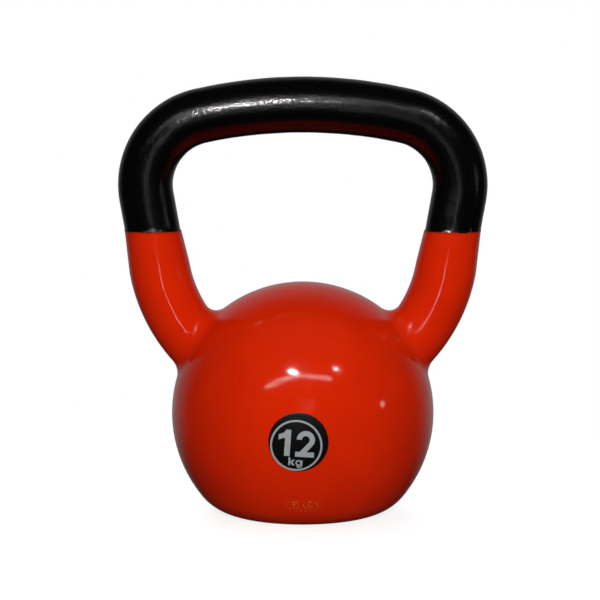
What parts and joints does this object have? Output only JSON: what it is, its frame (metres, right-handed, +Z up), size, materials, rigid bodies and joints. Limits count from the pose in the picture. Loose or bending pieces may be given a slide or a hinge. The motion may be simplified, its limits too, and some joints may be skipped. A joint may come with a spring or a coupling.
{
  "type": "kettlebell",
  "caption": "Cast-iron kettlebell with a flat base, a glossy red-orange dipped ball and horns, a black textured handle and a round weight label on its front.",
  "frame": {"origin": "centre of the flat base's underside", "axes": "+Z up out of the base, +X along the handle bar to the right as the label is read, and the label faces -Y"},
  "size_m": [0.1994, 0.1427, 0.2366],
  "materials": {
    "cast_iron": "as-cast grey iron, hidden under the finishes",
    "vinyl": "glossy red-orange dipped vinyl",
    "grip_enamel": "fine-textured black enamel with a slight sheen",
    "label_film": "satin black self-adhesive film",
    "label_ink": "light grey screen-printed ink"
  },
  "bodies": {
    "root": {"iron_casting": "cast_iron", "vinyl_coat": "vinyl", "grip_coat": "grip_enamel", "weight_label": "label_film", "label_ring": "label_ink", "label_numerals": "label_ink", "label_unit": "label_ink"}
  },
  "joints": []
}
